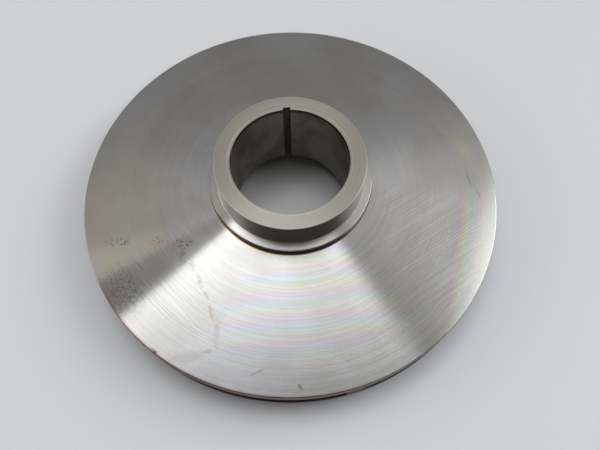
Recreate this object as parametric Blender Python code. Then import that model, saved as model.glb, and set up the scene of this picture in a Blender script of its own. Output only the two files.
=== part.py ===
# Closed centrifugal pump impeller, lying on its suction eye with the hub up.
# Units are metres, +Z runs up the shaft axis and z = 0 is the face that it rests on.
import math

import bmesh
import bpy
from mathutils import Matrix, Vector

# Driving dimensions of the whole wheel
OUTER_RADIUS = 0.180
SEGMENTS = 96
FIT_GAP = 0.0003

# Rim stack, read upwards from the resting face
FRONT_RIM_LOW = 0.0136
FRONT_RIM_THICKNESS = 0.006
OUTLET_WIDTH = 0.015
BACK_RIM_THICKNESS = 0.0074
RIM_CHAMFER = 0.0008

# Hub and its collar
BORE_RADIUS = 0.0488
HUB_RADIUS = 0.0625
COLLAR_RADIUS = 0.0695
HUB_LOW = 0.0146
HUB_HIGH = 0.0872
COLLAR_HIGH = 0.0618
COLLAR_SEAT = 0.0523
BORE_CHAMFER = 0.0012
HUB_CHAMFER = 0.0004
COLLAR_CHAMFER = 0.0005
HUB_FILLET = 0.0015

# Keyway, a plain slot through the whole length of the bore
KEY_WIDTH = 0.00635
KEY_BOTTOM_RADIUS = 0.0513

# Back shroud
BACK_SLOPE = math.tan(math.radians(6.35))
BACK_FLOW_SLOPE = 0.01
NOSE_RADIUS = 0.065
NOSE_SWEEP = 0.020

# Front shroud and suction eye
EYE_RADIUS = 0.098
EYE_SWEEP = 0.012
FRONT_FLOW_SLOPE = 0.07
NECK_RADIUS = 0.1057
LAND_HEIGHT = 0.011
LAND_RADIUS = 0.116
EYE_CHAMFER = 0.001

# Ring pressed over the neck
RING_OUTER_RADIUS = 0.112
RING_CHAMFER = 0.0006

# Vanes
VANE_COUNT = 8
VANE_THICKNESS = 0.006
VANE_INLET_RADIUS = 0.081
VANE_INLET_ANGLE = math.radians(20)
VANE_OUTLET_ANGLE = math.radians(25)
VANE_TIP_RADIUS = 0.1798
VANE_TIP_AZIMUTH = math.radians(-77.5)
INLET_EDGE_LOW_RADIUS = 0.1035
INLET_EDGE_HEIGHT = 0.002
VANE_STATIONS = 32
ARC_STEPS = 8

# Finishes: linear colour and roughness
TURNED = ((0.56, 0.55, 0.53), 0.3)
AS_CAST = ((0.34, 0.33, 0.31), 0.55)

# Heights that follow from the stack
FRONT_RIM_HIGH = FRONT_RIM_LOW + FRONT_RIM_THICKNESS
BACK_RIM_LOW = FRONT_RIM_HIGH + OUTLET_WIDTH
BACK_RIM_HIGH = BACK_RIM_LOW + BACK_RIM_THICKNESS
FRONT_SWEEP_RADIUS = EYE_RADIUS + EYE_SWEEP
BACK_SWEEP_RADIUS = NOSE_RADIUS + NOSE_SWEEP


def clear_scene():
    for obj in list(bpy.data.objects):
        bpy.data.objects.remove(obj, do_unlink=True)


def metal(name, colour, roughness):
    """A bare metal with one colour."""
    material = bpy.data.materials.new(name)
    material.use_nodes = True
    shader = material.node_tree.nodes["Principled BSDF"]
    shader.inputs["Base Color"].default_value = (*colour, 1.0)
    shader.inputs["Roughness"].default_value = roughness
    shader.inputs["Metallic"].default_value = 1.0
    return material


def arc(centre, radius, start, end, steps=ARC_STEPS):
    """Points (r, z) on an arc round centre, from one angle to the other in degrees."""
    points = []
    for step in range(steps + 1):
        angle = math.radians(start + (end - start) * step / steps)
        points.append((centre[0] + radius * math.cos(angle), centre[1] + radius * math.sin(angle)))
    return points


def back_flow_height(radius):
    """Height of the back shroud's wetted face."""
    if radius >= BACK_SWEEP_RADIUS:
        return BACK_RIM_LOW + (OUTER_RADIUS - radius) * BACK_FLOW_SLOPE
    centre = back_flow_height(BACK_SWEEP_RADIUS) - NOSE_SWEEP
    return centre + math.sqrt(max(0.0, NOSE_SWEEP**2 - (BACK_SWEEP_RADIUS - radius) ** 2))


def front_flow_height(radius):
    """Height of the front shroud's wetted face."""
    if radius >= FRONT_SWEEP_RADIUS:
        return FRONT_RIM_HIGH - (OUTER_RADIUS - radius) * FRONT_FLOW_SLOPE
    centre = front_flow_height(FRONT_SWEEP_RADIUS) - EYE_SWEEP
    return centre + math.sqrt(max(0.0, EYE_SWEEP**2 - (FRONT_SWEEP_RADIUS - radius) ** 2))


def back_face_height(radius):
    """Height of the turned conical face that is seen from the hub side."""
    return BACK_RIM_HIGH + (OUTER_RADIUS - radius) * BACK_SLOPE


def add_object(name, mesh, finish):
    """Put a mesh in the scene with a material of its own."""
    obj = bpy.data.objects.new(name, mesh)
    mesh.materials.append(metal(f"{name}_steel", *finish))
    bpy.context.scene.collection.objects.link(obj)
    return obj


def turned(name, profile, finish):
    """A ring turned from a closed (r, z) profile."""
    shape = bmesh.new()
    verts = [shape.verts.new((r, 0.0, z)) for r, z in profile]
    edges = [shape.edges.new((verts[i - 1], verts[i])) for i in range(len(verts))]
    bmesh.ops.spin(
        shape,
        geom=verts + edges,
        cent=(0.0, 0.0, 0.0),
        axis=(0.0, 0.0, 1.0),
        angle=2.0 * math.pi,
        steps=SEGMENTS,
        use_merge=True,
    )
    bmesh.ops.remove_doubles(shape, verts=shape.verts, dist=1e-6)
    bmesh.ops.recalc_face_normals(shape, faces=shape.faces)
    mesh = bpy.data.meshes.new(name)
    shape.to_mesh(mesh)
    shape.free()
    mesh.shade_smooth()
    mesh.set_sharp_from_angle(angle=math.radians(25))
    return add_object(name, mesh, finish)


def keyway_cutter():
    """A hidden bar that cuts the slot on the +Y side of the bore."""
    length = HUB_HIGH - HUB_LOW + 0.02
    inner = BORE_RADIUS - 0.01
    shape = bmesh.new()
    bmesh.ops.create_cube(
        shape,
        size=1.0,
        matrix=Matrix.Translation((0.0, (inner + KEY_BOTTOM_RADIUS) / 2, (HUB_LOW + HUB_HIGH) / 2))
        @ Matrix.Diagonal((KEY_WIDTH, KEY_BOTTOM_RADIUS - inner, length, 1.0)),
    )
    mesh = bpy.data.meshes.new("keyway_cutter")
    shape.to_mesh(mesh)
    shape.free()
    cutter = bpy.data.objects.new("keyway_cutter", mesh)
    bpy.context.scene.collection.objects.link(cutter)
    cutter.hide_render = True
    cutter.display_type = "WIRE"
    return cutter


def make_hub():
    """Sleeve with a collar that seats in the back shroud."""
    profile = [
        (BORE_RADIUS, HUB_LOW + BORE_CHAMFER),
        (BORE_RADIUS + BORE_CHAMFER, HUB_LOW),
        (HUB_RADIUS - BORE_CHAMFER, HUB_LOW),
        (HUB_RADIUS, HUB_LOW + BORE_CHAMFER),
        (HUB_RADIUS, COLLAR_SEAT),
        (COLLAR_RADIUS, COLLAR_SEAT),
        (COLLAR_RADIUS, COLLAR_HIGH - COLLAR_CHAMFER),
        (COLLAR_RADIUS - COLLAR_CHAMFER, COLLAR_HIGH),
    ]
    profile += arc((HUB_RADIUS + HUB_FILLET, COLLAR_HIGH + HUB_FILLET), HUB_FILLET, 270, 180, 3)
    profile += [
        (HUB_RADIUS, HUB_HIGH - HUB_CHAMFER),
        (HUB_RADIUS - HUB_CHAMFER, HUB_HIGH),
        (BORE_RADIUS + BORE_CHAMFER, HUB_HIGH),
        (BORE_RADIUS, HUB_HIGH - BORE_CHAMFER),
    ]
    hub = turned("hub", profile, TURNED)
    cut = hub.modifiers.new("keyway", "BOOLEAN")
    cut.operation = "DIFFERENCE"
    cut.solver = "EXACT"
    cut.object = keyway_cutter()
    return hub


def make_back_shroud():
    """Conical disc that carries the vanes under it, bored for the hub."""
    bore = HUB_RADIUS + FIT_GAP
    seat = COLLAR_RADIUS + FIT_GAP
    seat_height = COLLAR_SEAT - FIT_GAP
    sweep_centre = (BACK_SWEEP_RADIUS, back_flow_height(BACK_SWEEP_RADIUS) - NOSE_SWEEP)
    profile = [(bore, sweep_centre[1])]
    profile += arc(sweep_centre, NOSE_SWEEP, 180, 90)
    profile += [
        (OUTER_RADIUS, BACK_RIM_LOW),
        (OUTER_RADIUS, BACK_RIM_HIGH - RIM_CHAMFER),
        (OUTER_RADIUS - RIM_CHAMFER, back_face_height(OUTER_RADIUS - RIM_CHAMFER)),
        (seat, back_face_height(seat)),
        (seat, seat_height),
        (bore, seat_height),
    ]
    return turned("back_shroud", profile, TURNED)


def front_sweep():
    """Arc that leads from the wetted face down into the suction eye."""
    centre = (FRONT_SWEEP_RADIUS, front_flow_height(FRONT_SWEEP_RADIUS) - EYE_SWEEP)
    return arc(centre, EYE_SWEEP, 90, 180)


def make_front_shroud():
    """Cover under the vanes, which ends inwards in a plain edge against the neck."""
    inner = NECK_RADIUS + FIT_GAP
    profile = [
        (inner, LAND_HEIGHT),
        (LAND_RADIUS, LAND_HEIGHT),
        (OUTER_RADIUS - RIM_CHAMFER, FRONT_RIM_LOW),
        (OUTER_RADIUS, FRONT_RIM_LOW + RIM_CHAMFER),
        (OUTER_RADIUS, FRONT_RIM_HIGH),
    ]
    profile += [point for point in front_sweep() if point[0] > inner]
    profile += [(inner, front_flow_height(inner))]
    return turned("front_shroud", profile, TURNED)


def make_suction_neck():
    """Neck of the suction eye, which carries the cover's curve down to the mouth."""
    profile = [
        (EYE_RADIUS + EYE_CHAMFER, 0.0),
        (NECK_RADIUS, 0.0),
        (NECK_RADIUS, front_flow_height(NECK_RADIUS)),
    ]
    profile += [point for point in front_sweep() if point[0] < NECK_RADIUS]
    profile += [(EYE_RADIUS, EYE_CHAMFER)]
    return turned("suction_neck", profile, TURNED)


def make_wear_ring():
    """Plain ring over the neck, the outer half of the face that it rests on."""
    inner = NECK_RADIUS + FIT_GAP
    high = LAND_HEIGHT - FIT_GAP
    profile = [
        (inner, 0.0),
        (RING_OUTER_RADIUS - RING_CHAMFER, 0.0),
        (RING_OUTER_RADIUS, RING_CHAMFER),
        (RING_OUTER_RADIUS, high),
        (inner, high),
    ]
    return turned("wear_ring", profile, TURNED)


def camber_azimuth(radius):
    """Azimuth of the vane's middle line, which winds inwards anticlockwise from the tip."""
    slices = 60
    step = (OUTER_RADIUS - radius) / slices
    total = 0.0
    for index in range(slices):
        r = radius + (index + 0.5) * step
        share = (r - VANE_INLET_RADIUS) / (OUTER_RADIUS - VANE_INLET_RADIUS)
        angle = VANE_INLET_ANGLE + (VANE_OUTLET_ANGLE - VANE_INLET_ANGLE) * share
        total += step / (r * math.tan(angle))
    return VANE_TIP_AZIMUTH + total


def camber_point(radius):
    azimuth = camber_azimuth(radius)
    return Vector((radius * math.cos(azimuth), radius * math.sin(azimuth), 0.0))


def vane_side(radius, side):
    """Point on one face of the vane, half a thickness off the middle line. The inlet end is rounded."""
    step = 1e-5
    along = (camber_point(radius + step) - camber_point(radius - step)).normalized()
    normal = Vector((-along.y, along.x, 0.0))
    behind = (radius - VANE_INLET_RADIUS) / math.sin(VANE_INLET_ANGLE)
    nose = min(1.0, behind / VANE_THICKNESS)
    half = VANE_THICKNESS / 2 * math.sqrt(0.06 + 0.94 * nose * (2.0 - nose))
    return camber_point(radius) + normal * half * side


def tip_parameter(side):
    """Radius on the middle line whose face point lies on the tip circle."""
    low = 0.9 * OUTER_RADIUS
    high = 1.1 * OUTER_RADIUS
    for _ in range(40):
        middle = (low + high) / 2
        if vane_side(middle, side).length < VANE_TIP_RADIUS:
            low = middle
        else:
            high = middle
    return low


def clear_of_front(radius):
    """Height one gap above the front shroud's wetted face, measured square to it."""
    if radius >= FRONT_SWEEP_RADIUS:
        return front_flow_height(radius) + FIT_GAP
    centre = front_flow_height(FRONT_SWEEP_RADIUS) - EYE_SWEEP
    return centre + math.sqrt((EYE_SWEEP + FIT_GAP) ** 2 - (FRONT_SWEEP_RADIUS - radius) ** 2)


def vane_low_height(radius):
    """Lower edge: on the front shroud, then up the sloping inlet edge."""
    on_shroud = clear_of_front(max(radius, INLET_EDGE_LOW_RADIUS))
    if radius >= INLET_EDGE_LOW_RADIUS:
        return on_shroud
    top = back_flow_height(VANE_INLET_RADIUS) - FIT_GAP - INLET_EDGE_HEIGHT
    share = (INLET_EDGE_LOW_RADIUS - radius) / (INLET_EDGE_LOW_RADIUS - VANE_INLET_RADIUS)
    return on_shroud + (top - on_shroud) * min(1.0, share)


def vane_mesh():
    """Plate between the shrouds. Its lower edge has two more points to follow their curve."""
    section = ((-1, False), (-1 / 3, False), (1 / 3, False), (1, False), (1, True), (-1, True))
    shape = bmesh.new()
    rows = []
    ends = {side: tip_parameter(side) for side, top in section}
    for station in range(VANE_STATIONS + 1):
        share = (station / VANE_STATIONS) ** 1.3
        corners = []
        for side, top in section:
            radius = VANE_INLET_RADIUS + (ends[side] - VANE_INLET_RADIUS) * share
            point = vane_side(radius, side)
            reach = point.length
            height = back_flow_height(reach) - FIT_GAP if top else vane_low_height(reach)
            corners.append(shape.verts.new((point.x, point.y, height)))
        rows.append(corners)
    shape.faces.new(rows[0])
    shape.faces.new(rows[-1])
    for here, there in zip(rows, rows[1:]):
        for index in range(len(section)):
            after = (index + 1) % len(section)
            shape.faces.new((here[index], here[after], there[after], there[index]))
    bmesh.ops.recalc_face_normals(shape, faces=shape.faces)
    mesh = bpy.data.meshes.new("vane")
    shape.to_mesh(mesh)
    shape.free()
    mesh.shade_smooth()
    mesh.set_sharp_from_angle(angle=math.radians(40))
    return mesh


def make_vanes():
    """Eight equal vanes, wound backwards from the direction of turning."""
    for index in range(VANE_COUNT):
        vane = add_object(f"vane_{index + 1}", vane_mesh(), AS_CAST)
        vane.rotation_euler.z = 2.0 * math.pi * index / VANE_COUNT


def main():
    clear_scene()
    make_hub()
    make_back_shroud()
    make_front_shroud()
    make_suction_neck()
    make_wear_ring()
    make_vanes()


main()
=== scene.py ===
# %% [markdown]
# # A closed pump impeller
#
# The object is the spinning wheel of a centrifugal pump, turned from stainless steel. It lies
# on its suction eye on a pale table, so what shows is the back of the wheel: a shallow cone, a
# stepped hub and a bore with one keyway. Everything is in metres and +Z runs up the shaft. The
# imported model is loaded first, and each new piece goes exactly where its solid stands.
# %% Load the frame
import math

import bmesh
import bpy
from mathutils import Matrix, Vector


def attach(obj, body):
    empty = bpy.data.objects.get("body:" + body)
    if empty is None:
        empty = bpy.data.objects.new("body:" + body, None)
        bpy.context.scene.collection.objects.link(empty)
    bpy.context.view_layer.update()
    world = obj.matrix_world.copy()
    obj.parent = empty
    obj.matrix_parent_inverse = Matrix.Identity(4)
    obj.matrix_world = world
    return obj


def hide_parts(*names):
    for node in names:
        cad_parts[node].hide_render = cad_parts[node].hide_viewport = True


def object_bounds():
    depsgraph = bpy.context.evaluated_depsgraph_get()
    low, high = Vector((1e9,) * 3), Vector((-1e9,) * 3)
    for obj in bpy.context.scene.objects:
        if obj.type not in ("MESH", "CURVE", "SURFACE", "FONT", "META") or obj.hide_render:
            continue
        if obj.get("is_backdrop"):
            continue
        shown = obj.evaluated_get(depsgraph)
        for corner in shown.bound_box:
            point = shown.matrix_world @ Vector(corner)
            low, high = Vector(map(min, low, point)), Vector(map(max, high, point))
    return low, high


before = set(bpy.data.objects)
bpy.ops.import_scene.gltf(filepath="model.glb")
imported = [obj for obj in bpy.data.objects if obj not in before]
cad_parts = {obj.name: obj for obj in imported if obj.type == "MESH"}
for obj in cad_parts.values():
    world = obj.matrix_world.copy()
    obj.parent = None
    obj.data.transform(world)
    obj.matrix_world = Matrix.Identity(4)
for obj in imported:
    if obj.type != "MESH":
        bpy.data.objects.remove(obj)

cad_low, cad_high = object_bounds()
MM = 0.001
print("nodes:", sorted(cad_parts))
print("box in mm:", [round(v / MM, 1) for v in (*cad_low, *cad_high)])

# %% [markdown]
# ## Helpers for work in edit mode
#
# An operator acts on everything that is selected, so each step starts by clearing the
# selection. Points and edges are then picked in code by where they lie.


# %% Selecting and shading
def only(obj):
    """Make one object the selected and active one."""
    bpy.ops.object.select_all(action="DESELECT")
    obj.select_set(True)
    bpy.context.view_layer.objects.active = obj


def pick_points(obj, test):
    """In edit mode, select the points whose place passes the test."""
    shape = bmesh.from_edit_mesh(obj.data)
    for face in shape.faces:
        face.select = False
    for edge in shape.edges:
        edge.select = False
    for vert in shape.verts:
        vert.select = test(obj.matrix_world @ vert.co)
    shape.select_flush_mode()
    bmesh.update_edit_mesh(obj.data)


def settle(obj):
    """Bring the object's origin to the world's, so that its place is in its mesh."""
    only(obj)
    bpy.ops.object.transform_apply(location=True, rotation=True, scale=True)


def apply_all(obj):
    only(obj)
    for modifier in list(obj.modifiers):
        bpy.ops.object.modifier_apply(modifier=modifier.name)


def smooth(obj, angle=35):
    """Shade round surfaces smoothly and keep flat faces flat right up to their rounded edges."""
    only(obj)
    bpy.ops.object.shade_smooth_by_angle(angle=math.radians(angle))
    obj.modifiers.new("flat_faces", "WEIGHTED_NORMAL").keep_sharp = True
    apply_all(obj)


def report(obj):
    low = [min(v.co[i] for v in obj.data.vertices) / MM for i in range(3)]
    high = [max(v.co[i] for v in obj.data.vertices) / MM for i in range(3)]
    triangles = sum(len(p.vertices) - 2 for p in obj.data.polygons)
    print(obj.name, [round(v, 2) for v in low], [round(v, 2) for v in high], triangles, "triangles")


print("helpers:", ", ".join(h.__name__ for h in (only, pick_points, settle, apply_all, smooth, report)))


# %% [markdown]
# ## Turning on a lathe
#
# Most of the wheel was made on a lathe, and the same idea makes it here. A single point is
# extruded from corner to corner of half a cross-section, its corners are rounded with a bevel,
# and the outline is spun once round the shaft. Modelling the section first means that every
# radius and height is a plain number, as on a workshop drawing.


# %% The lathe
def trace(name, outline):
    """Extrude one point through the corners (radius, height, rounding), all in millimetres."""
    only_corners = [(r * MM, 0.0, z * MM) for r, z, rounding in outline]
    bpy.ops.object.select_all(action="DESELECT")
    bpy.ops.mesh.primitive_plane_add(size=1.0 * MM, location=only_corners[0])
    obj = bpy.context.object
    obj.name = name
    obj.data.name = name
    bpy.ops.object.mode_set(mode="EDIT")
    bpy.ops.mesh.select_mode(type="VERT")
    bpy.ops.mesh.merge(type="CENTER")
    for here, there in zip(only_corners, only_corners[1:]):
        step = Vector(there) - Vector(here)
        bpy.ops.mesh.extrude_region_move(TRANSFORM_OT_translate={"value": step})
    ends = (Vector(only_corners[0]), Vector(only_corners[-1]))
    pick_points(obj, lambda place: min((place - end).length for end in ends) < 1e-6)
    bpy.ops.mesh.edge_face_add()
    for (r, z, rounding), corner in zip(outline, only_corners):
        if rounding:
            corner = Vector(corner)
            pick_points(obj, lambda place: (place - corner).length < 1e-6)
            bpy.ops.mesh.bevel(offset=rounding * MM, segments=4, affect="VERTICES")
    return obj


def turn(name, outline, steps):
    """Trace an outline and spin it into a closed ring."""
    obj = trace(name, outline)
    bpy.ops.mesh.select_all(action="SELECT")
    bpy.ops.mesh.spin(
        steps=steps, angle=2 * math.pi, center=(0, 0, 0), axis=(0, 0, 1), use_auto_merge=True
    )
    bpy.ops.mesh.select_all(action="SELECT")
    bpy.ops.mesh.remove_doubles(threshold=0.001 * MM)
    bpy.ops.mesh.normals_make_consistent(inside=False)
    bpy.ops.object.mode_set(mode="OBJECT")
    settle(obj)
    return obj


def bow(centre_r, centre_z, radius, start, end, steps=14):
    """Corners along an arc of the outline, from one angle to the other in degrees."""
    corners = []
    for step in range(steps + 1):
        angle = math.radians(start + (end - start) * step / steps)
        corners.append((centre_r + radius * math.cos(angle), centre_z + radius * math.sin(angle), 0))
    return corners


print("a bow has", len(bow(0.0, 0.0, 1.0, 0.0, 90.0)), "corners")


# %% [markdown]
# ## Sizes
#
# The wheel is 360 mm across. Radii come first, and heights are counted upwards from the face
# that it lies on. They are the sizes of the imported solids, so each piece lands on its own solid.
# The collar's top falls a little towards its edge here. That is a guess from how the light lies
# on it in the photo, and the solids have it flat.

# %% Sizes in millimetres
RIM = 180.0
BORE = 48.8
HUB = 62.5
COLLAR = 69.5
HUB_LOW = 14.6
HUB_HIGH = 87.2
COLLAR_HIGH = 61.8
COLLAR_SLOPE = 1.0
COLLAR_SEAT = 52.3
BACK_LOW = 34.6
BACK_HIGH = 42.0
FRONT_LOW = 13.6
FRONT_HIGH = 19.6
EYE = 98.0
NECK = 105.7
GAP = 0.3
EDGE_BREAK = 0.3
END_RECESS = 0.15
SMALL_STEPS = 288
LARGE_STEPS = 384
CONE = math.tan(math.radians(6.35))


def cone_height(radius):
    return BACK_HIGH + (RIM - radius) * CONE


def back_flow(radius):
    return BACK_LOW + (RIM - radius) * 0.01


def front_flow(radius):
    return FRONT_HIGH - (RIM - radius) * 0.07


print("the cone rises", round(cone_height(COLLAR) - BACK_HIGH, 2), "mm from rim to collar")

# %% [markdown]
# ## Hub
#
# The hub is a sleeve that fits the shaft, and its collar sits on the shroud. The photo has a
# faint line round the near side of the bore, which is taken for a shallow recess. Its depth is
# a guess. The keyway is cut last, as a broach would cut it, with a boolean bar. A knock on an
# edge is a small ball cut out of it.

# %% Turn the hub and cut the keyway
hub = turn(
    "impeller_hub",
    [
        (BORE, HUB_LOW, 1.0),
        (HUB, HUB_LOW, 1.0),
        (HUB, COLLAR_SEAT, 0),
        (COLLAR, COLLAR_SEAT, 0),
        (COLLAR, COLLAR_HIGH - COLLAR_SLOPE, 0.8),
        (HUB, COLLAR_HIGH, 0.6),
        (HUB, HUB_HIGH, 0.6),
        (51.2, HUB_HIGH, 0),
        (51.0, HUB_HIGH - END_RECESS, 0),
        (BORE, HUB_HIGH - END_RECESS, EDGE_BREAK),
    ],
    SMALL_STEPS,
)
bpy.ops.object.select_all(action="DESELECT")
KEY_WIDE = 6.35
KEY_BOTTOM = 51.3
BAR_DEEP = 10.0
BAR_LONG = 120.0
bar_place = (0, (KEY_BOTTOM - BAR_DEEP / 2) * MM, HUB_HIGH / 2 * MM)
bpy.ops.mesh.primitive_cube_add(size=1.0, location=bar_place)
broach = bpy.context.object
bpy.ops.transform.resize(value=(KEY_WIDE * MM, BAR_DEEP * MM, BAR_LONG * MM))
settle(broach)
cut = hub.modifiers.new("keyway", "BOOLEAN")
cut.object = broach
cut.solver = "EXACT"
apply_all(hub)
bpy.data.objects.remove(broach)


def nick(piece, heading, radius, height, size):
    """Knock a small dent into an edge: a ball of that half size cut out, in degrees and mm."""
    angle = math.radians(heading)
    place = (radius * MM * math.cos(angle), radius * MM * math.sin(angle), height * MM)
    bpy.ops.object.select_all(action="DESELECT")
    bpy.ops.mesh.primitive_ico_sphere_add(subdivisions=2, radius=size * MM, location=place)
    ball = bpy.context.object
    settle(ball)
    dent = piece.modifiers.new("nick", "BOOLEAN")
    dent.object = ball
    dent.solver = "EXACT"
    apply_all(piece)
    bpy.data.objects.remove(ball)


nick(hub, -93.3, HUB + 0.3, HUB_HIGH + 0.2, 0.9)
smooth(hub)
report(hub)

# %% [markdown]
# ## Back shroud
#
# The large disc of the photo. Its upper face is a shallow cone and its rim is left square with
# only a touch of rounding, knocked in three places. The photo hides the wetted face under it.
# It is drawn as on other wheels of this kind, sweeping down to the hub in a quarter bow of
# 20 mm, because water must turn there.

# %% Turn the back shroud
SWEEP = 20.0
sweep_r = HUB + 2.5 + SWEEP
sweep_z = back_flow(sweep_r) - SWEEP
back_shroud = turn(
    "turned_back_shroud",
    [(HUB + GAP, sweep_z, 0)]
    + bow(sweep_r, sweep_z, SWEEP, 180, 90)
    + [
        (RIM, BACK_LOW, EDGE_BREAK),
        (RIM, BACK_HIGH, 1.2),
        (COLLAR + GAP, cone_height(COLLAR + GAP), 0.2),
        (COLLAR + GAP, COLLAR_SEAT - GAP, 0),
        (HUB + GAP, COLLAR_SEAT - GAP, 0),
    ],
    LARGE_STEPS,
)
RIM_NICKS = ((-129.2, 2.4), (-126.8, 1.5), (-109.2, 1.8))
for heading, size in RIM_NICKS:
    nick(back_shroud, heading, RIM + 0.5, BACK_HIGH + 0.3, size)
smooth(back_shroud)
report(back_shroud)

# %% [markdown]
# ## Front shroud, neck and wear ring
#
# These carry the suction side. The photo hides it but for the cover's rim, so it is drawn as on
# other wheels of this kind. The cover's wetted face curves down into the eye, and a plain ring
# goes over the neck. They are turned like the rest, with the 0.3 mm gaps that the solids have.

# %% Turn the suction side
LIP = 12.0
lip_r = EYE + LIP
lip_z = front_flow(lip_r) - LIP
lip = bow(lip_r, lip_z, LIP, 90, 180, 24)
COVER_LOW = 11.0
RING_RADIUS = 112.0
RING_HIGH = 10.7
front_shroud = turn(
    "turned_front_shroud",
    [
        (NECK + GAP, COVER_LOW, 0),
        (116.0, COVER_LOW, 0.8),
        (RIM, FRONT_LOW, 0.6),
        (RIM, FRONT_HIGH, EDGE_BREAK),
    ]
    + [corner for corner in lip if corner[0] > NECK + GAP + 0.2]
    + [(NECK + GAP, lip_z + math.sqrt(LIP**2 - (lip_r - NECK - GAP) ** 2), 0)],
    LARGE_STEPS,
)
suction_neck = turn(
    "turned_suction_neck",
    [(EYE, 0.0, 0.8), (NECK, 0.0, 0), (NECK, lip_z + math.sqrt(LIP**2 - (lip_r - NECK) ** 2), 0)]
    + [corner for corner in lip if corner[0] < NECK - 0.2],
    SMALL_STEPS,
)
wear_ring = turn(
    "pressed_wear_ring",
    [
        (NECK + GAP, 0.0, 0),
        (RING_RADIUS, 0.0, 0.6),
        (RING_RADIUS, RING_HIGH, 0),
        (NECK + GAP, RING_HIGH, 0),
    ],
    SMALL_STEPS,
)
for ring in (front_shroud, suction_neck, wear_ring):
    smooth(ring)
    report(ring)

# %% [markdown]
# ## Materials
#
# Two helpers come first. One turns an sRGB hex colour into the linear values that shaders use,
# and the other adds a node with its settings and links, so that a material reads as a list.


# %% Colour and node helpers
def linear(text):
    """Linear red, green, blue and alpha from a hex colour."""
    parts = [int(text[i : i + 2], 16) / 255 for i in (0, 2, 4)]
    return (*[c / 12.92 if c <= 0.04045 else ((c + 0.055) / 1.055) ** 2.4 for c in parts], 1.0)


def node(tree, kind, settings=None, links=None):
    """Add a node. A setting names a property, or an input by its number or its name."""
    made = tree.nodes.new(kind)
    for key, value in (settings or {}).items():
        if isinstance(key, str) and hasattr(made, key):
            setattr(made, key, value)
        else:
            made.inputs[key].default_value = value
    for key, socket in (links or {}).items():
        tree.links.new(socket, made.inputs[key])
    return made


def new_material(name):
    material = bpy.data.materials.new(name)
    material.use_nodes = True
    tree = material.node_tree
    return material, tree, tree.nodes["Principled BSDF"]


print("a middle grey is", round(linear("808080")[0], 3), "in linear light")


# %% [markdown]
# ## Where a point lies on the wheel
#
# A lathe leaves circles, and light lies on them along rays. These helpers turn Object
# coordinates into a radius and a heading, and into soft masks: a sector, a ring, a blot.


# %% Masks
def polar(tree):
    """The place, its distance from the shaft, and the way to it as an arrow one metre long."""
    place = node(tree, "ShaderNodeTexCoord").outputs["Object"]
    level = node(tree, "ShaderNodeVectorMath", {"operation": "MULTIPLY", 1: (1, 1, 0)}, {0: place})
    radius = node(tree, "ShaderNodeVectorMath", {"operation": "LENGTH"}, {0: level.outputs[0]})
    ray = node(tree, "ShaderNodeVectorMath", {"operation": "NORMALIZE"}, {0: level.outputs[0]})
    return place, radius.outputs["Value"], ray.outputs[0]


def sector(tree, ray, heading, half, soft):
    """One within so many degrees of a heading, and nought beyond them."""
    aim = (math.cos(math.radians(heading)), math.sin(math.radians(heading)), 0.0)
    near = node(tree, "ShaderNodeVectorMath", {"operation": "DOT_PRODUCT", 1: aim}, {0: ray})
    edges = {1: math.cos(math.radians(half + soft)), 2: math.cos(math.radians(max(half - soft, 0)))}
    settings = {"interpolation_type": "SMOOTHSTEP", **edges}
    return node(tree, "ShaderNodeMapRange", settings, {0: near.outputs["Value"]}).outputs[0]


def ring(tree, radius, inner, outer, soft):
    """One between two radii in millimetres, and nought outside them."""
    middle = (inner + outer) / 2 * MM
    half = (outer - inner) / 2 * MM
    offset = node(tree, "ShaderNodeMath", {"operation": "SUBTRACT", 1: middle}, {0: radius})
    away = node(tree, "ShaderNodeMath", {"operation": "ABSOLUTE"}, {0: offset.outputs[0]})
    edges = {1: half + soft * MM, 2: half - soft * MM}
    settings = {"interpolation_type": "SMOOTHSTEP", **edges}
    return node(tree, "ShaderNodeMapRange", settings, {0: away.outputs[0]}).outputs[0]


def overlap(tree, *masks):
    """Where all the masks lie over each other."""
    shared = masks[0]
    for mask in masks[1:]:
        shared = node(tree, "ShaderNodeMath", {"operation": "MULTIPLY"}, {0: shared, 1: mask}).outputs[0]
    return shared


def blot(tree, place, x, y, heading, length, width):
    """One at a spot of the disc, fading to nought at its two half sizes in millimetres."""
    settings = {
        "vector_type": "TEXTURE",
        "Location": (x * MM, y * MM, 0.0),
        "Rotation": (0.0, 0.0, math.radians(heading)),
        "Scale": (length * MM, width * MM, 1.0),
    }
    inside = node(tree, "ShaderNodeMapping", settings, {"Vector": place})
    away = node(tree, "ShaderNodeVectorMath", {"operation": "LENGTH"}, {0: inside.outputs[0]})
    settings = {"interpolation_type": "SMOOTHSTEP", 1: 1.0, 2: 0.3}
    return node(tree, "ShaderNodeMapRange", settings, {0: away.outputs["Value"]}).outputs[0]


def beyond(tree, place, heading, start, full):
    """One on the far side of a straight line across the disc, fading in between two distances
    from the shaft in millimetres."""
    aim = (math.cos(math.radians(heading)), math.sin(math.radians(heading)), 0.0)
    along = node(tree, "ShaderNodeVectorMath", {"operation": "DOT_PRODUCT", 1: aim}, {0: place})
    settings = {"interpolation_type": "SMOOTHSTEP", 1: start * MM, 2: full * MM}
    return node(tree, "ShaderNodeMapRange", settings, {0: along.outputs["Value"]}).outputs[0]


def mottle(tree, vector, scale, low, high, detail=3.0):
    """Noise turned into patches: nought below one level of it and one above another."""
    noise = node(tree, "ShaderNodeTexNoise", {"Scale": scale, "Detail": detail}, {"Vector": vector})
    settings = {"interpolation_type": "SMOOTHSTEP", 1: low, 2: high}
    return node(tree, "ShaderNodeMapRange", settings, {0: noise.outputs[0]}).outputs[0]


print("masks:", ", ".join(m.__name__ for m in (sector, ring, overlap, blot, beyond, mottle)))


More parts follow.
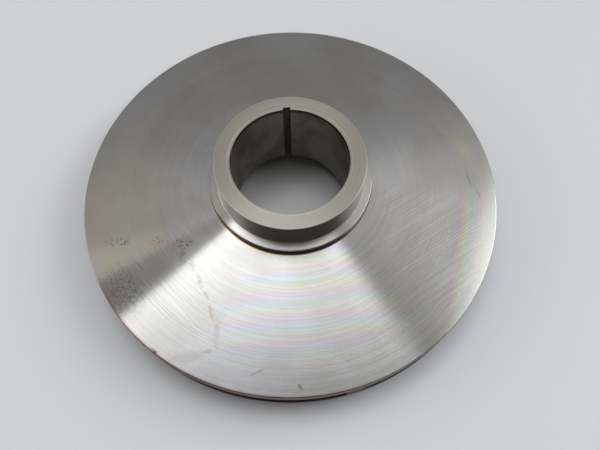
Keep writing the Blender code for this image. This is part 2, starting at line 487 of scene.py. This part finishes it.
# %% [markdown]
# ## Turned stainless steel
#
# The name in the trade is turned austenitic stainless. The tool leaves a fine spiral of
# scallops, each like a tiny trough that runs round the wheel, so light spreads along the radius
# and stays sharp round the circle. That is what draws the bright wedges that point at the
# shaft. Here the scallops are a bump of closed rings, one for each step of the tool's feed. Any
# finer lines are too fine to show, so an anisotropic shader stands for those.


# %% Tool marks
def turned_steel(name, feed, depth, roughness, directed):
    """A steel shader with lathe scallops, and the sockets that the rest of a finish needs."""
    material, tree, shader = new_material(name)
    place, radius, ray = polar(tree)
    height = node(tree, "ShaderNodeSeparateXYZ", {}, {0: place}).outputs[2]
    profile = node(tree, "ShaderNodeMath", {"operation": "ADD"}, {0: radius, 1: height}).outputs[0]
    turns = node(tree, "ShaderNodeMath", {"operation": "DIVIDE", 1: feed * MM}, {0: profile})
    phase = node(tree, "ShaderNodeMath", {"operation": "FRACT"}, {0: turns.outputs[0]})
    middle = node(tree, "ShaderNodeMath", {"operation": "SUBTRACT", 1: 0.5}, {0: phase.outputs[0]})
    trough = node(tree, "ShaderNodeMath", {"operation": "POWER", 1: 2.0}, {0: middle.outputs[0]})
    bump = node(
        tree, "ShaderNodeBump", {"Strength": 1.0, "Distance": depth * MM}, {"Height": trough.outputs[0]}
    )
    tangent = node(tree, "ShaderNodeTangent", {"direction_type": "RADIAL", "axis": "Z"})
    tree.links.new(bump.outputs[0], shader.inputs["Normal"])
    tree.links.new(tangent.outputs[0], shader.inputs["Tangent"])
    shader.inputs["Metallic"].default_value = 1.0
    shader.inputs["Roughness"].default_value = roughness
    shader.inputs["Anisotropic"].default_value = directed
    shader.inputs["Anisotropic Rotation"].default_value = 0.25
    return material, tree, shader, place, radius, ray


def lathe_lines(tree, radius, ray, pitch, weakest, strongest):
    """Uneven brightness that runs round the shaft. Its pitch in mm is drawn coarser than the
    feed, as coarse as it needs to be to show."""
    height = node(tree, "ShaderNodeMath", {"operation": "DIVIDE", 1: pitch * MM}, {0: radius})
    rise = node(tree, "ShaderNodeCombineXYZ", {}, {2: height.outputs[0]})
    settings = {"operation": "MULTIPLY_ADD", 1: (0.5, 0.5, 0.0)}
    wound = node(tree, "ShaderNodeVectorMath", settings, {0: ray, 2: rise.outputs[0]})
    noise = node(
        tree, "ShaderNodeTexNoise", {"Scale": 1.0, "Detail": 2.0}, {"Vector": wound.outputs[0]}
    )
    settings = {1: 0.25, 2: 0.75, 3: weakest, 4: strongest}
    return node(tree, "ShaderNodeMapRange", settings, {0: noise.outputs[0]}).outputs[0]


def brush_lines(tree, place, heading, length, width, weakest, strongest):
    """Uneven brightness along straight strokes of one heading, with sizes in millimetres."""
    settings = {
        "vector_type": "TEXTURE",
        "Rotation": (0.0, 0.0, math.radians(heading)),
        "Scale": (length * MM, width * MM, 1.0),
    }
    strokes = node(tree, "ShaderNodeMapping", settings, {"Vector": place})
    noise = node(
        tree, "ShaderNodeTexNoise", {"Scale": 1.0, "Detail": 2.0}, {"Vector": strokes.outputs[0]}
    )
    settings = {1: 0.25, 2: 0.75, 3: weakest, 4: strongest}
    return node(tree, "ShaderNodeMapRange", settings, {0: noise.outputs[0]}).outputs[0]


def split_light(tree, place, heading, first, spacing, strength):
    """The pastel bands that fine grooves split light into. They lie square to a heading, the
    first red one so many millimetres from the shaft, and the colours follow each other."""
    angle = math.radians(heading)
    turn = 2 * math.pi / (spacing * MM)
    settings = {
        "operation": "DOT_PRODUCT",
        1: (turn * math.cos(angle), turn * math.sin(angle), 0.0),
    }
    phase = node(tree, "ShaderNodeVectorMath", settings, {0: place})
    start = first * MM * turn
    settings = {
        "operation": "SUBTRACT",
        1: (start, start + math.radians(240), start + math.radians(125)),
    }
    three = node(tree, "ShaderNodeVectorMath", settings, {0: phase.outputs["Value"]})
    wave = node(tree, "ShaderNodeVectorMath", {"operation": "COSINE"}, {0: three.outputs[0]})
    settings = {"operation": "MULTIPLY_ADD", 1: (strength,) * 3, 2: (1.0, 1.0, 1.0)}
    return node(tree, "ShaderNodeVectorMath", settings, {0: wave.outputs[0]}).outputs[0]


print("tool marks:", ", ".join(m.__name__ for m in (lathe_lines, brush_lines, split_light)))


# %% [markdown]
# ## Layers of colour
#
# A finish is painted in layers, and each layer is mixed over the last one where its mask says.
# The tool's lines come first and the stains last, because a stain hides the lines under it.


# %% Stains
def stained(tree, paint, mask, colour, strength):
    """Lay one more colour over a finish, at some strength, where a mask says."""
    amount = node(tree, "ShaderNodeMath", {"operation": "MULTIPLY", 1: strength}, {0: mask})
    settings = {"data_type": "RGBA", 7: linear(colour)}
    return node(tree, "ShaderNodeMix", settings, {0: amount.outputs[0], 6: paint}).outputs[2]


print("layers are laid by", stained.__name__)

# %% [markdown]
# ## The face of the back shroud
#
# The trade name is turned austenitic stainless, not polished. To the eye that is a neutral grey
# with a silky ring pattern, brightest along rays that point at the light. Broad clouds of about
# 70 mm keep it from looking even. The lathe lines are 0.7 mm apart, drawn that much coarser than
# the 0.5 mm feed because they need to show. The feed is a guess, and the depth was found by
# trial, with the photo's wedges as the guide. The depth is a factor on the square of the way
# across a scallop, so the trough itself is a quarter of it deep, or 0.019 mm.

# %% Face steel
STEEL = "98989a"
STEEL_DULL = "8e8d8a"
FACE_FEED = 0.5
FACE_DEPTH = 0.075
FACE_ROUGHNESS = 0.14
FACE_DIRECTED = 0.98

face_steel, tree, shader, place, radius, ray = turned_steel(
    "turned_stainless_face", FACE_FEED, FACE_DEPTH, FACE_ROUGHNESS, FACE_DIRECTED
)
paint = node(
    tree,
    "ShaderNodeMix",
    {"data_type": "RGBA", 6: linear(STEEL), 7: linear(STEEL_DULL)},
    {0: mottle(tree, place, 14.0, 0.35, 0.65)},
).outputs[2]
paint = node(
    tree,
    "ShaderNodeMix",
    {"data_type": "RGBA", "blend_type": "MULTIPLY", "clamp_result": False, 0: 1.0},
    {6: paint, 7: lathe_lines(tree, radius, ray, 0.7, 0.945, 1.055)},
).outputs[2]
print("a scallop leans", round(math.degrees(FACE_DEPTH / FACE_FEED), 1), "degrees at its edges")
print("the bare face has", len(tree.nodes), "nodes")

# %% [markdown]
# ## Strokes and split light
#
# The photo has a fan of straight strokes on the right and fewer on the left, as hand grinding
# leaves them. They are 0.75 and 0.9 mm wide, drawn as coarse as they need to be to show. It also
# has pastel bands near the light, as fine grooves make when they split it. This renderer can't
# split light at grooves, so the bands are painted, and they stay in place from every side. Each
# pattern brightens or darkens the steel inside its own area only, so it is multiplied over it.

# %% Strokes and bands
right_fan = overlap(
    tree, sector(tree, ray, -34.0, 25.0, 9.0), ring(tree, radius, 78.0, 172.0, 9.0)
)
left_fan = overlap(
    tree, sector(tree, ray, -142.0, 16.0, 8.0), ring(tree, radius, 84.0, 160.0, 10.0)
)
near_area = overlap(
    tree, sector(tree, ray, -87.0, 32.0, 8.0), ring(tree, radius, 64.0, 158.0, 14.0)
)
right_area = overlap(
    tree, sector(tree, ray, -28.0, 22.0, 6.0), beyond(tree, place, -16.2, 140.0, 146.0)
)
for tint, mask in (
    (lathe_lines(tree, radius, ray, 1.1, 0.94, 1.06), sector(tree, ray, -82.0, 70.0, 18.0)),
    (brush_lines(tree, place, 30.0, 150.0, 0.75, 0.84, 1.16), right_fan),
    (brush_lines(tree, place, -50.0, 90.0, 0.9, 0.86, 1.14), left_fan),
    (split_light(tree, place, -88.0, 79.5, 19.0, 0.045), near_area),
    (split_light(tree, place, -16.2, 149.0, -18.0, 0.055), right_area),
):
    paint = node(
        tree,
        "ShaderNodeMix",
        {"data_type": "RGBA", "blend_type": "MULTIPLY", "clamp_result": False},
        {0: mask, 6: paint, 7: tint},
    ).outputs[2]
print("with strokes and bands it has", len(tree.nodes))

# %% [markdown]
# ## Stains, and three tints that stand in for light
#
# The photo has faint tan films, runs of small brown pits, what looks like a dried drip, and a
# brown line along the rim. Each is a blot with ragged edges. The grain of the raggedness is in
# patches per metre, so 420 gives specks of 2.4 mm, about as small as the picture can show.
#
# Three layers here aren't marks on the metal. The photo has a glow along the right rim, but a
# window bright enough for it throws too strong a shadow on the table, so the steel is painted
# paler there, a painted reflection. The left wedge is dimmer near the collar than this room makes
# it, so a ring there is painted darker, a painted reflection of the dark hub. The near rim edge,
# below, is the third. Seen from other sides, or in other light, they stay where they are.

# %% Marks
TAN = "9e9787"
GREY_TAN = "7c736b"
BROWN = "4a3d2c"
RIM_EDGE_REFLECTION = "84665a"
RUST_GOLD = "b8955c"

# Each mark has a colour, its strength, its grain and how much of it is bare, and then blots:
# x, y, the heading of its length, and half its length and width, in millimetres and degrees.
MARKS = (
    (TAN, 0.4, 20.0, 0.2, ((-142.0, -14.0, 85.0, 90.0, 55.0),)),
    (TAN, 0.6, 90.0, 0.36, ((-118.0, -48.0, 20.0, 16.0, 8.0), (-151.0, -60.0, 25.0, 24.0, 9.0))),
    (TAN, 0.55, 110.0, 0.34, ((116.0, 76.0, 5.0, 17.0, 6.0), (131.0, 62.0, -20.0, 15.0, 7.0))),
    (TAN, 0.55, 110.0, 0.34, ((146.0, 48.0, -40.0, 14.0, 7.0), (158.0, 28.0, -60.0, 18.0, 8.0))),
    (TAN, 0.6, 60.0, 0.36, ((-144.0, 68.0, 60.0, 22.0, 11.0), (-118.0, 88.0, 40.0, 24.0, 10.0))),
    (BROWN, 0.65, 560.0, 0.51, ((-147.0, -45.0, -5.0, 15.0, 6.0), (-113.0, -48.0, -5.0, 12.0, 7.0))),
    (BROWN, 0.65, 560.0, 0.48, ((-91.0, -52.0, -10.0, 13.0, 7.0), (-91.0, -64.0, -85.0, 8.0, 4.0))),
    (BROWN, 0.35, 600.0, 0.48, ((-140.0, -86.0, -60.0, 34.0, 18.0),)),
    (GREY_TAN, 0.7, 420.0, 0.38, ((-84.0, -73.0, -60.0, 6.0, 2.4), (-78.0, -86.0, -75.0, 9.0, 2.6))),
    (GREY_TAN, 0.7, 420.0, 0.38, ((-73.0, -97.0, -60.0, 6.0, 2.2), (-69.0, -111.0, -80.0, 11.0, 2.6))),
    (GREY_TAN, 0.3, 200.0, 0.2, ((-65.0, -128.0, -95.0, 16.0, 4.0), (-88.0, -144.0, 5.0, 20.0, 6.0))),
    (BROWN, 0.6, 400.0, 0.2, ((-113.5, -137.5, -39.0, 5.0, 2.0),)),
    (BROWN, 0.25, 400.0, 0.3, ((-72.0, -141.0, 10.0, 5.0, 1.8),)),
    (BROWN, 0.4, 20.0, 0.2, ((157.0, -5.0, -80.0, 9.0, 0.8), (163.0, -19.0, -80.0, 6.0, 0.8))),
    (BROWN, 0.5, 300.0, 0.36, ((-35.0, -159.0, 20.0, 9.0, 0.8), (-3.0, -172.0, -60.0, 5.0, 1.2))),
)
# Painted reflection: the steel is painted paler along the right rim, for the window's glow.
paint = stained(tree, paint, beyond(tree, place, -24.0, 150.0, 184.0), "bcbcb8", 1.0)
for colour, strength, grain, bare, blots in MARKS:
    ragged = mottle(tree, place, grain, bare, bare + 0.16, 5.0)
    for x, y, heading, length, width in blots:
        spot = overlap(tree, blot(tree, place, x, y, heading, length, width), ragged)
        paint = stained(tree, paint, spot, colour, strength)

# Painted reflection: a ring by the collar on the left is painted darker, for the dark hub mirrored in
# it.
painted_hub_reflection = overlap(tree, ring(tree, radius, 60.0, 88.0, 7.0), sector(tree, ray, -128.0, 22.0, 9.0))
paint = stained(tree, paint, painted_hub_reflection, "84837f", 0.6)

# The photo has a golden line in the corner at the collar, as old sealant or rust leaves it. The
# near rim edge is painted brown, a painted reflection of the dark near side of the room.
foot = overlap(tree, ring(tree, radius, 60.0, 71.5, 1.8), sector(tree, ray, -122.0, 36.0, 22.0))
paint = stained(tree, paint, foot, RUST_GOLD, 0.4)
# Painted reflection: the near rim edge is painted brown.
edge = overlap(tree, ring(tree, radius, 178.6, 184.0, 0.5), sector(tree, ray, -116.0, 36.0, 12.0))
paint = stained(tree, paint, edge, RIM_EDGE_REFLECTION, 0.8)
tree.links.new(paint, shader.inputs["Base Color"])
print("the finished face has", len(tree.nodes), "nodes and", len(MARKS), "kinds of mark")

# %% [markdown]
# ## The other turned faces
#
# The hub is taken to be turned at a finer feed of 0.4 mm. Its end face is softer and darker, with
# a painted highlight, a light line, at each edge. In the photo its wall is light on the left and
# dark brown on the near side. This room doesn't give that light, so both are painted on: the light
# left is a painted reflection, and the dark near side is partly painted shade and partly a brown
# tint. The collar is smooth enough to mirror the ceiling. The rim's side is painted dark brown, a
# painted reflection of the shaded table beside it. Lathe lines are 1 mm apart here, drawn as coarse
# as they need to be to show.


# %% Hub steels
HUB_FEED = 0.4
HUB_LINES = 1.0


def plain_turned(name, depth, roughness, directed, colour):
    """Turned steel with nothing on it but its lathe lines."""
    material, tree, shader, _, radius, ray = turned_steel(
        name, HUB_FEED, depth, roughness, directed
    )
    paint = node(
        tree,
        "ShaderNodeMix",
        {"data_type": "RGBA", "blend_type": "MULTIPLY", 0: 1.0, 6: linear(colour)},
        {7: lathe_lines(tree, radius, ray, HUB_LINES, 0.93, 1.07)},
    ).outputs[2]
    tree.links.new(paint, shader.inputs["Base Color"])
    return material, tree, shader, paint, radius, ray


hub_steel, tree, shader, paint, _, ray = plain_turned(
    "turned_stainless_hub", 0.04, 0.4, 0.6, "9f9b94"
)
# Painted reflection: the wall is painted lighter on the left.
paint = stained(tree, paint, sector(tree, ray, -152.0, 34.0, 16.0), "e2dfd8", 0.9)
# Partly painted shade, partly a brown tint: the near side of the wall is painted dark brown.
paint = stained(tree, paint, sector(tree, ray, -88.0, 32.0, 18.0), "85776a", 0.7)
tree.links.new(paint, shader.inputs["Base Color"])

faced_steel, tree, shader, paint, radius, _ = plain_turned(
    "faced_stainless_hub_end", 0.03, 0.36, 0.6, "84817a"
)
# Painted highlights: a light line at the outer and at the inner edge of the end face.
paint = stained(tree, paint, ring(tree, radius, 61.9, 70.0, 0.3), "c4c1ba", 0.5)
paint = stained(tree, paint, ring(tree, radius, 50.6, 51.4, 0.3), "b4b1aa", 0.35)
tree.links.new(paint, shader.inputs["Base Color"])

collar_steel = plain_turned("turned_stainless_collar", 0.03, 0.2, 0.96, "969490")[0]
ring_steel = plain_turned("turned_stainless_ring", 0.04, 0.42, 0.6, "9f9b94")[0]
# Painted reflection: the rim's side is painted dark brown, for the shaded table it mirrors.
rim_steel = plain_turned("stainless_rim_painted_reflection", 0.04, 0.35, 0.8, "6d6257")[0]
print("hub finishes:", [steel.name for steel in (hub_steel, faced_steel, collar_steel)])

# %% [markdown]
# ## The bore and the keyway
#
# Bored stainless, dark, olive and half dull, in patches of about 20 mm. The photo has a dark band
# just inside the mouth, and the bore is painted darker there. It may be a chamfer in shade, and
# it is drawn as grease. The keyway is darker still.

# %% Dark steels of the bore
bored_steel, tree, shader, place, _, _ = turned_steel("dark_olive_bore", HUB_FEED, 0.02, 0.4, 0.5)
paint = node(
    tree,
    "ShaderNodeMix",
    {"data_type": "RGBA", 6: linear("948f82"), 7: linear("736c5b")},
    {0: mottle(tree, place, 45.0, 0.35, 0.7)},
).outputs[2]
height = node(tree, "ShaderNodeSeparateXYZ", {}, {0: place}).outputs[2]
MOUTH_BAND_START = 82.5
MOUTH_BAND_FULL = 84.5
edges = {1: MOUTH_BAND_START * MM, 2: MOUTH_BAND_FULL * MM}
mouth = node(tree, "ShaderNodeMapRange", edges, {0: height}).outputs[0]
paint = stained(tree, paint, mouth, "3d3a32", 0.85)
tree.links.new(paint, shader.inputs["Base Color"])

keyway_steel, tree, shader = new_material("dark_keyway")
place = node(tree, "ShaderNodeTexCoord").outputs["Object"]
paint = node(
    tree,
    "ShaderNodeMix",
    {"data_type": "RGBA", 6: linear("545045"), 7: linear("3a362e")},
    {0: mottle(tree, place, 120.0, 0.35, 0.65)},
).outputs[2]
tree.links.new(paint, shader.inputs["Base Color"])
shader.inputs["Metallic"].default_value = 0.3
shader.inputs["Roughness"].default_value = 0.6
print("dark bore finishes:", bored_steel.name, keyway_steel.name)

# %% [markdown]
# ## The passages
#
# The photo shows no more of the passages than one vane tip, so their finish is a guess: cast
# stainless, left as it came out of the mould, pebbled and rough. Its dark grey brown is partly
# that finish and partly painted shade, deepening the dark of the outlet slots and the eye. The
# pebbles are about 1 mm, as a sand mould leaves them, and a bump is enough because nobody sees
# them edge on.

# %% Cast steel
cast_steel, tree, shader = new_material("cast_stainless_passage")
place = node(tree, "ShaderNodeTexCoord").outputs["Object"]
grains = node(tree, "ShaderNodeTexNoise", {"Scale": 900.0, "Detail": 4.0}, {"Vector": place})
bump = node(
    tree, "ShaderNodeBump", {"Strength": 0.6, "Distance": 0.4 * MM}, {"Height": grains.outputs[0]}
)
# Partly painted shade: the passages are painted dark grey brown.
paint = node(
    tree,
    "ShaderNodeMix",
    {"data_type": "RGBA", 6: linear("5c5850"), 7: linear("45413a")},
    {0: mottle(tree, place, 40.0, 0.3, 0.7)},
).outputs[2]
tree.links.new(paint, shader.inputs["Base Color"])
tree.links.new(bump.outputs[0], shader.inputs["Normal"])
shader.inputs["Metallic"].default_value = 0.9
shader.inputs["Roughness"].default_value = 0.55
print("passage finish:", cast_steel.name)

# %% [markdown]
# ## Dressing the pieces
#
# A piece that has more than one finish gets a material slot for each, and the faces of the
# second and third finish are picked by where their middles lie.


# %% Dress
def dress(piece, cad, finishes):
    """Give a piece its finishes: the first is all over, each other one where its test says."""
    only(piece)
    for material, test in finishes:
        piece.data.materials.append(material)
    bpy.ops.object.mode_set(mode="EDIT")
    bpy.ops.mesh.select_mode(type="FACE")
    for index, (material, test) in enumerate(finishes):
        shape = bmesh.from_edit_mesh(piece.data)
        for face in shape.faces:
            face.select_set(test is None or test(face.calc_center_median() / MM))
        bmesh.update_edit_mesh(piece.data)
        piece.active_material_index = index
        bpy.ops.object.material_slot_assign()
    bpy.ops.object.mode_set(mode="OBJECT")
    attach(piece, "root")
    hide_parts(cad)


def in_bore(place):
    return place.xy.length < BORE + 0.25 and place.z < HUB_HIGH - 1.0


def on_end_face(place):
    return place.z > HUB_HIGH - 0.7


def on_collar(place):
    return place.xy.length > HUB + 0.3 and COLLAR_SEAT < place.z < COLLAR_HIGH + 0.6


def on_rim(place):
    return place.xy.length > RIM - 0.1 and place.z < BACK_HIGH - 1.0


def in_keyway(place):
    return abs(place.x) < 3.2 and place.y > 0 and BORE - 0.2 < place.xy.length < 51.6


def wetted_above(place):
    return place.xy.length < RIM - 0.4 and place.z < cone_height(place.xy.length) - 4.0


def wetted_below(place):
    return place.xy.length < RIM - 0.4 and place.z > 13.8 - (RIM - place.xy.length) * 0.03


dress(
    hub,
    "hub",
    [
        (hub_steel, None),
        (faced_steel, on_end_face),
        (collar_steel, on_collar),
        (bored_steel, in_bore),
        (keyway_steel, in_keyway),
    ],
)
dress(
    back_shroud,
    "back_shroud",
    [(face_steel, None), (cast_steel, wetted_above), (rim_steel, on_rim)],
)
dress(front_shroud, "front_shroud", [(face_steel, None), (cast_steel, wetted_below)])
dress(suction_neck, "suction_neck", [(ring_steel, None)])
dress(wear_ring, "wear_ring", [(ring_steel, None)])
VANES = 8
for index in range(VANES):
    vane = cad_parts[f"vane_{index + 1}"]
    vane.data.materials.clear()
    vane.data.materials.append(cast_steel)
print("the hub has", len(hub.data.materials), "finishes and", VANES, "vanes are cast steel")

# %% [markdown]
# ## Table
#
# A plain pale table, painted and half dull, so wide that its edge never shows. It lies a tenth of
# a millimetre under the wheel, because two faces in one plane would flicker.

# %% Table
bpy.ops.object.select_all(action="DESELECT")
TABLE_WIDE = 40.0
TABLE_DROP = 0.1
bpy.ops.mesh.primitive_plane_add(size=TABLE_WIDE, location=(0, 0, -TABLE_DROP * MM))
table = bpy.context.object
table.name = "pale_table"
table_paint, tree, shader = new_material("pale_table_paint")
shader.inputs["Base Color"].default_value = linear("dadbde")
shader.inputs["Roughness"].default_value = 0.5
table.data.materials.append(table_paint)
table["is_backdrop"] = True
print("table:", table.dimensions.x, "m wide")

# %% [markdown]
# ## Studio light
#
# Turned steel shows the shape of whatever lights it, so the light is a room that is written in
# the world shader: one broad ceiling panel, a window on the right, and walls that are brighter
# on the far side. Lamps would light the table as well, but a room has edges, and the steel turns
# each edge into the straight border of a bright wedge.
#
# The photo doesn't show its room. Each light here was moved until the wedges and the dark strip
# beside the left one fell where the photo has them. The dark beam isn't a light: it takes light
# away, as a dark thing before a bright wall does, and gives the strip its sharp borders. Over
# about a hundredth of the sky it takes more than is there, which no real thing can do.

# %% Light
world = bpy.data.worlds.new("studio_room")
bpy.context.scene.world = world
world.use_nodes = True
room = world.node_tree
look = node(room, "ShaderNodeTexCoord").outputs["Generated"]

# A light is its brightness, its colour and its edges. An edge has the heading that it faces,
# where the light starts and where it is full along that heading, on a sky seen as a flat disc of
# radius one, and what share of the light is left outside it.
LIGHTS = {
    "ceiling_panel": (
        4.1,
        "fbfdff",
        (
            (-51.5, -0.398, -0.39, 0.0),
            (210.0, -0.3, -0.23, 0.0),
            (90.0, -0.12, -0.02, 0.0),
            (90.0, -0.02, 0.24, 0.17),
        ),
    ),
    "window": (
        4.5,
        "f6faff",
        (
            (-18.0, 0.5, 0.66, 0.0),
            (162.0, -0.8, -0.74, 0.0),
            (90.0, -0.35, -0.1, 0.0),
            (-90.0, -0.46, -0.34, 0.0),
        ),
    ),
    "low_left_window": (1.2, "ffffff", ((180.0, 0.8, 0.86, 0.0), (90.0, -0.4, -0.2, 0.0))),
    "low_west_window": (3.0, "ffffff", ((195.0, 0.85, 0.92, 0.0),)),
    "near_walls": (0.06, "ffffff", ((90.0, -1.1, -1.0, 0.0),)),
    "far_walls": (0.75, "fffdf8", ((90.0, -0.25, 0.28, 0.0), (-90.0, -0.75, -0.4, 0.5))),
    "right_wall": (
        0.42,
        "ffffff",
        ((0.0, 0.12, 0.4, 0.0), (90.0, -0.3, 0.1, 0.0), (-90.0, -0.65, -0.5, 0.0)),
    ),
    "left_slot": (
        0.6,
        "fff0d8",
        ((117.0, 0.437, 0.447, 0.0), (-71.0, -0.49, -0.465, 0.0), (204.0, 0.15, 0.6, 0.0)),
    ),
    "dark_beam": (
        -0.62,
        "ffffff",
        ((-63.0, -0.447, -0.437, 0.0), (128.5, 0.39, 0.398, 0.0), (213.0, 0.15, 0.4, 0.0)),
    ),
}
glow = None
for brightness, colour, edges in LIGHTS.values():
    light = None
    for heading, start, full, rest in edges:
        faces = (math.cos(math.radians(heading)), math.sin(math.radians(heading)), 0.0)
        reach = node(room, "ShaderNodeVectorMath", {"operation": "DOT_PRODUCT", 1: faces}, {0: look})
        settings = {"interpolation_type": "SMOOTHSTEP", 1: start, 2: full, 3: rest}
        share = node(room, "ShaderNodeMapRange", settings, {0: reach.outputs["Value"]})
        links = {1: share.outputs[0]}
        if light:
            links[0] = light
        settings = {"operation": "MULTIPLY", 0: brightness}
        light = node(room, "ShaderNodeMath", settings, links).outputs[0]
    links = {0: light}
    if glow:
        links[2] = glow
    settings = {"operation": "MULTIPLY_ADD", 1: linear(colour)[:3]}
    glow = node(room, "ShaderNodeVectorMath", settings, links).outputs[0]
# Low down, a plain pale horizon rings the room, which other views see behind the table. The
# two limits are heights on a sky whose top is one.
height = node(room, "ShaderNodeSeparateXYZ", {}, {0: look}).outputs[2]
HORIZON_FULL = 0.15
HORIZON_GONE = 0.5
settings = {"interpolation_type": "SMOOTHSTEP", 1: HORIZON_FULL, 2: HORIZON_GONE}
share = node(room, "ShaderNodeMapRange", settings, {0: height})
settings = {"data_type": "RGBA", 6: linear("c9cacc")}
glow = node(room, "ShaderNodeMix", settings, {0: share.outputs[0], 7: glow}).outputs[2]
room.links.new(glow, room.nodes["Background"].inputs["Color"])
room.nodes["Background"].inputs["Strength"].default_value = 1.0
print("lights:", ", ".join(LIGHTS))

# %% [markdown]
# ## Camera
#
# The camera stands where the photo was taken from, almost half a metre up and a quarter of a
# metre in front of the shaft, and looks down at about 65 degrees. Its place was worked out from
# the outlines of rim, hub and bore, and the focal length is given in widths of the picture. The
# Standard view keeps greys as they are.

# %% Camera
FOCAL_WIDTHS = 543.8 / 600.0
SENSOR = 36.0
TURN = math.radians(1.8)
YAW = 0.0346 + TURN
PITCH = 1.1349
CAMERA_BACK = 0.23357
CAMERA_UP = 0.42048
forward = Vector((math.sin(YAW) * math.cos(PITCH), math.cos(YAW) * math.cos(PITCH), -math.sin(PITCH)))
side = Vector((math.cos(YAW), -math.sin(YAW), 0.0))
rise = side.cross(forward)
place = Matrix.Rotation(-TURN, 3, "Z") @ Vector((0.0, -CAMERA_BACK, 0.0))
place.z = CAMERA_UP + BACK_HIGH * MM
data = bpy.data.cameras.new("view_of_the_photo")
data.sensor_width = SENSOR
data.lens = FOCAL_WIDTHS * SENSOR
camera = bpy.data.objects.new("view_of_the_photo", data)
bpy.context.scene.collection.objects.link(camera)
turned = Matrix((side, rise, -forward)).transposed()
camera.matrix_world = Matrix.Translation(place) @ turned.to_4x4()
bpy.context.scene.camera = camera
bpy.context.scene.view_settings.view_transform = "Standard"
print("lens:", round(data.lens, 1), "mm, height:", round(place.z, 3), "m")

# %% [markdown]
# ## Check of the size
#
# The dressed wheel has to fill the same box as its solids, so the two boxes are compared and the largest
# difference is printed.

# %% Sizes against the solids
low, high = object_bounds()
corners = zip((*low, *high), (*cad_low, *cad_high))
print("off the solids by at most", round(max(abs(a - b) for a, b in corners) / MM, 3), "mm")
